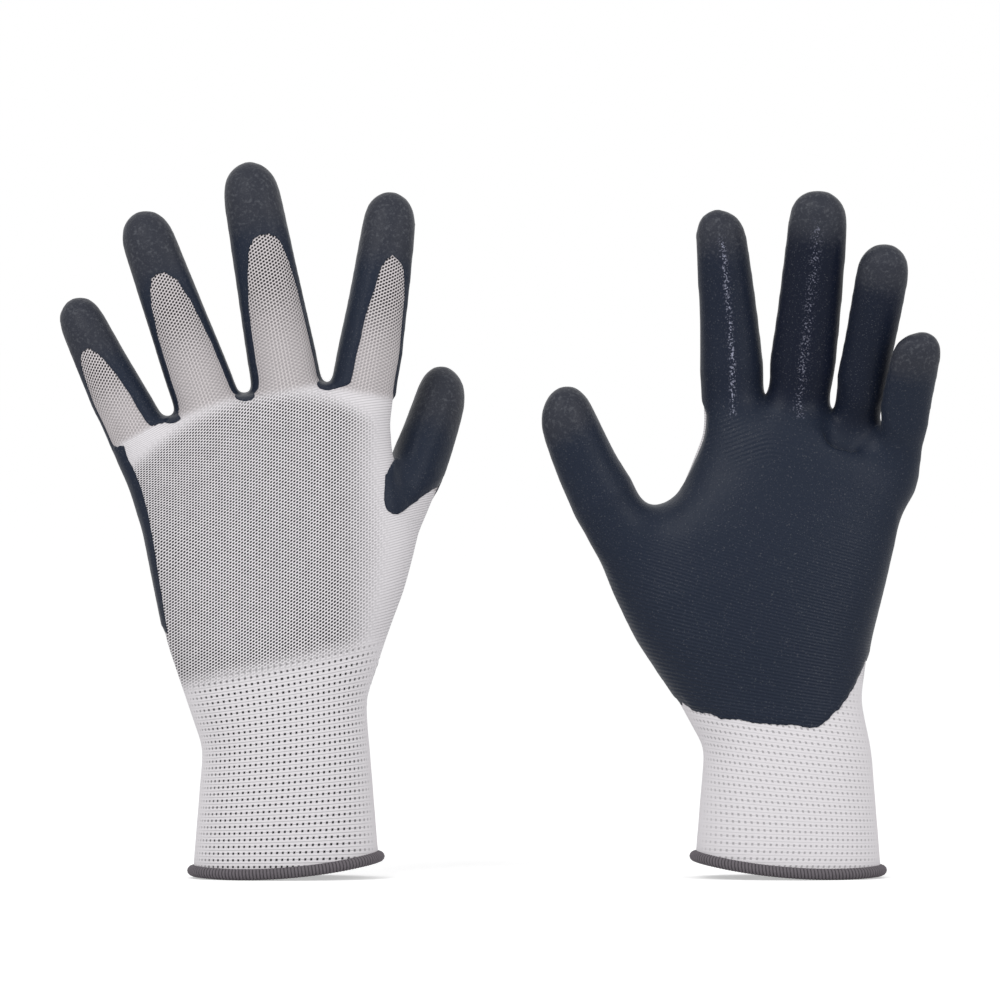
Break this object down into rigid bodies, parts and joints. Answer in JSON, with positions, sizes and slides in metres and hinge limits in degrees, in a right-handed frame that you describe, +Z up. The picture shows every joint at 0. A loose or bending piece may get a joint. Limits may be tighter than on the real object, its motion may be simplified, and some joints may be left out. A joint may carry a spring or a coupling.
{
  "type": "work gloves",
  "caption": "Pair of seamless knitted work gloves with a dark dipped coating on palms and fingers, ribbed elastic cuffs and overlocked hems, standing on their cuffs.",
  "frame": {"origin": "on the table, under the middle of the pair's bounding box", "axes": "+Z up from the hems to the fingertips, +X across the pair from the first glove, whose back shows, to the second, whose palm shows, and +Y away from the viewer"},
  "size_m": [0.3178, 0.0672, 0.2582],
  "materials": {
    "knit": "fine light grey plain knit, matt",
    "coating": "dark blue-grey dipped coating, satin, with the knit's rows showing through",
    "hem_yarn": "grey overlock stitching, matt",
    "elastic": "pale elastic thread, matt"
  },
  "bodies": {
    "glove_1_cuff": {"glove_1_hem": "hem_yarn", "glove_1_cuff": "knit", "glove_1_elastic_thread": "elastic"},
    "glove_1_palm": {"glove_1_palm_liner": "knit", "glove_1_palm_coating": "coating"},
    "glove_1_thumb_base": {"glove_1_thumb_base_liner": "knit", "glove_1_thumb_base_coating": "coating"},
    "glove_1_thumb_tip": {"glove_1_thumb_tip_liner": "knit", "glove_1_thumb_tip_coating": "coating"},
    "glove_1_index_base": {"glove_1_index_base_liner": "knit", "glove_1_index_base_coating": "coating"},
    "glove_1_index_tip": {"glove_1_index_tip_liner": "knit", "glove_1_index_tip_coating": "coating"},
    "glove_1_middle_base": {"glove_1_middle_base_liner": "knit", "glove_1_middle_base_coating": "coating"},
    "glove_1_middle_tip": {"glove_1_middle_tip_liner": "knit", "glove_1_middle_tip_coating": "coating"},
    "glove_1_ring_base": {"glove_1_ring_base_liner": "knit", "glove_1_ring_base_coating": "coating"},
    "glove_1_ring_tip": {"glove_1_ring_tip_liner": "knit", "glove_1_ring_tip_coating": "coating"},
    "glove_1_little_base": {"glove_1_little_base_liner": "knit", "glove_1_little_base_coating": "coating"},
    "glove_1_little_tip": {"glove_1_little_tip_liner": "knit", "glove_1_little_tip_coating": "coating"},
    "glove_2_cuff": {"glove_2_hem": "hem_yarn", "glove_2_cuff": "knit", "glove_2_elastic_thread": "elastic"},
    "glove_2_palm": {"glove_2_palm_liner": "knit", "glove_2_palm_coating": "coating"},
    "glove_2_thumb_base": {"glove_2_thumb_base_liner": "knit", "glove_2_thumb_base_coating": "coating"},
    "glove_2_thumb_tip": {"glove_2_thumb_tip_liner": "knit", "glove_2_thumb_tip_coating": "coating"},
    "glove_2_index_base": {"glove_2_index_base_liner": "knit", "glove_2_index_base_coating": "coating"},
    "glove_2_index_tip": {"glove_2_index_tip_liner": "knit", "glove_2_index_tip_coating": "coating"},
    "glove_2_middle_base": {"glove_2_middle_base_liner": "knit", "glove_2_middle_base_coating": "coating"},
    "glove_2_middle_tip": {"glove_2_middle_tip_liner": "knit", "glove_2_middle_tip_coating": "coating"},
    "glove_2_ring_base": {"glove_2_ring_base_liner": "knit", "glove_2_ring_base_coating": "coating"},
    "glove_2_ring_tip": {"glove_2_ring_tip_liner": "knit", "glove_2_ring_tip_coating": "coating"},
    "glove_2_little_base": {"glove_2_little_base_liner": "knit", "glove_2_little_base_coating": "coating"},
    "glove_2_little_tip": {"glove_2_little_tip_liner": "knit", "glove_2_little_tip_coating": "coating"}
  },
  "joints": [
    {"name": "glove_1_wrist", "type": "hinge", "parent": "glove_1_cuff", "child": "glove_1_palm", "pos_m": [-0.0779, 0.0181, 0.046], "axis": [-1, 0, 0], "range_deg": [0, 45], "stiffness_Nm_per_rad": 0.3},
    {"name": "glove_1_thumb_base", "type": "hinge", "parent": "glove_1_palm", "child": "glove_1_thumb_base", "pos_m": [-0.04554, 0.01159, 0.13396], "axis": [-0.4741, -0.6841, 0.5543], "range_deg": [0, 40], "stiffness_Nm_per_rad": 0.02},
    {"name": "glove_1_thumb_tip", "type": "hinge", "parent": "glove_1_thumb_base", "child": "glove_1_thumb_tip", "pos_m": [-0.03435, 0.02261, 0.15713], "axis": [-0.4741, -0.6841, 0.5543], "range_deg": [0, 60], "stiffness_Nm_per_rad": 0.012},
    {"name": "glove_1_index_base", "type": "hinge", "parent": "glove_1_palm", "child": "glove_1_index_base", "pos_m": [-0.05037, 0.00784, 0.17463], "axis": [-0.9833, 0, 0.1822], "range_deg": [0, 70], "stiffness_Nm_per_rad": 0.02},
    {"name": "glove_1_index_tip", "type": "hinge", "parent": "glove_1_index_base", "child": "glove_1_index_tip", "pos_m": [-0.04417, 0.00884, 0.20805], "axis": [-0.9833, 0, 0.1822], "range_deg": [0, 80], "stiffness_Nm_per_rad": 0.012},
    {"name": "glove_1_middle_base", "type": "hinge", "parent": "glove_1_palm", "child": "glove_1_middle_base", "pos_m": [-0.0775, 0.00845, 0.1765], "axis": [-0.9833, 0, -0.1822], "range_deg": [0, 70], "stiffness_Nm_per_rad": 0.02},
    {"name": "glove_1_middle_tip", "type": "hinge", "parent": "glove_1_middle_base", "child": "glove_1_middle_tip", "pos_m": [-0.08424, 0.00824, 0.21288], "axis": [-0.9833, 0, -0.1822], "range_deg": [0, 80], "stiffness_Nm_per_rad": 0.012},
    {"name": "glove_1_ring_base", "type": "hinge", "parent": "glove_1_palm", "child": "glove_1_ring_base", "pos_m": [-0.10584, 0.00785, 0.16982], "axis": [-0.9397, 0, -0.342], "range_deg": [0, 70], "stiffness_Nm_per_rad": 0.02},
    {"name": "glove_1_ring_tip", "type": "hinge", "parent": "glove_1_ring_base", "child": "glove_1_ring_tip", "pos_m": [-0.11746, 0.00824, 0.20177], "axis": [-0.9397, 0, -0.342], "range_deg": [0, 80], "stiffness_Nm_per_rad": 0.012},
    {"name": "glove_1_little_base", "type": "hinge", "parent": "glove_1_palm", "child": "glove_1_little_base", "pos_m": [-0.13166, 0.00689, 0.16055], "axis": [-0.8829, 0, -0.4695], "range_deg": [0, 70], "stiffness_Nm_per_rad": 0.02},
    {"name": "glove_1_little_tip", "type": "hinge", "parent": "glove_1_little_base", "child": "glove_1_little_tip", "pos_m": [-0.14339, 0.00788, 0.1826], "axis": [-0.8829, 0, -0.4695], "range_deg": [0, 80], "stiffness_Nm_per_rad": 0.012},
    {"name": "glove_2_lift", "type": "slide", "parent": "glove_1_cuff", "child": "glove_2_cuff", "axis": [0, 0, 1], "range_m": [0, 0.06]},
    {"name": "glove_2_wrist", "type": "hinge", "parent": "glove_2_cuff", "child": "glove_2_palm", "pos_m": [0.1026, -0.021, 0.046], "axis": [1, 0, 0], "range_deg": [0, 45], "stiffness_Nm_per_rad": 0.3},
    {"name": "glove_2_thumb_base", "type": "hinge", "parent": "glove_2_palm", "child": "glove_2_thumb_base", "pos_m": [0.04768, -0.01649, 0.1254], "axis": [0.7563, 0.3726, 0.5378], "range_deg": [0, 40], "stiffness_Nm_per_rad": 0.02},
    {"name": "glove_2_thumb_tip", "type": "hinge", "parent": "glove_2_thumb_base", "child": "glove_2_thumb_tip", "pos_m": [0.03246, -0.01931, 0.14874], "axis": [0.7563, 0.3726, 0.5378], "range_deg": [0, 60], "stiffness_Nm_per_rad": 0.012},
    {"name": "glove_2_index_base", "type": "hinge", "parent": "glove_2_palm", "child": "glove_2_index_base", "pos_m": [0.08267, -0.00999, 0.16765], "axis": [0.999, 0, 0.0436], "range_deg": [0, 70], "stiffness_Nm_per_rad": 0.02},
    {"name": "glove_2_index_tip", "type": "hinge", "parent": "glove_2_index_base", "child": "glove_2_index_tip", "pos_m": [0.08119, -0.01088, 0.20161], "axis": [0.999, 0, 0.0436], "range_deg": [0, 80], "stiffness_Nm_per_rad": 0.012},
    {"name": "glove_2_middle_base", "type": "hinge", "parent": "glove_2_palm", "child": "glove_2_middle_base", "pos_m": [0.10612, -0.00965, 0.16644], "axis": [0.989, 0, -0.1478], "range_deg": [0, 70], "stiffness_Nm_per_rad": 0.02},
    {"name": "glove_2_middle_tip", "type": "hinge", "parent": "glove_2_middle_base", "child": "glove_2_middle_tip", "pos_m": [0.11139, -0.01944, 0.20173], "axis": [0.989, 0, -0.1478], "range_deg": [0, 80], "stiffness_Nm_per_rad": 0.012},
    {"name": "glove_2_ring_base", "type": "hinge", "parent": "glove_2_palm", "child": "glove_2_ring_base", "pos_m": [0.12626, -0.00711, 0.15758], "axis": [0.9863, 0, -0.165], "range_deg": [0, 70], "stiffness_Nm_per_rad": 0.02},
    {"name": "glove_2_ring_tip", "type": "hinge", "parent": "glove_2_ring_base", "child": "glove_2_ring_tip", "pos_m": [0.13149, -0.01948, 0.18885], "axis": [0.9863, 0, -0.165], "range_deg": [0, 80], "stiffness_Nm_per_rad": 0.012},
    {"name": "glove_2_little_base", "type": "hinge", "parent": "glove_2_palm", "child": "glove_2_little_base", "pos_m": [0.14208, -0.00959, 0.14724], "axis": [0.9863, 0, -0.165], "range_deg": [0, 70], "stiffness_Nm_per_rad": 0.02},
    {"name": "glove_2_little_tip", "type": "hinge", "parent": "glove_2_little_base", "child": "glove_2_little_tip", "pos_m": [0.14582, -0.02009, 0.16963], "axis": [0.9863, 0, -0.165], "range_deg": [0, 80], "stiffness_Nm_per_rad": 0.012}
  ]
}
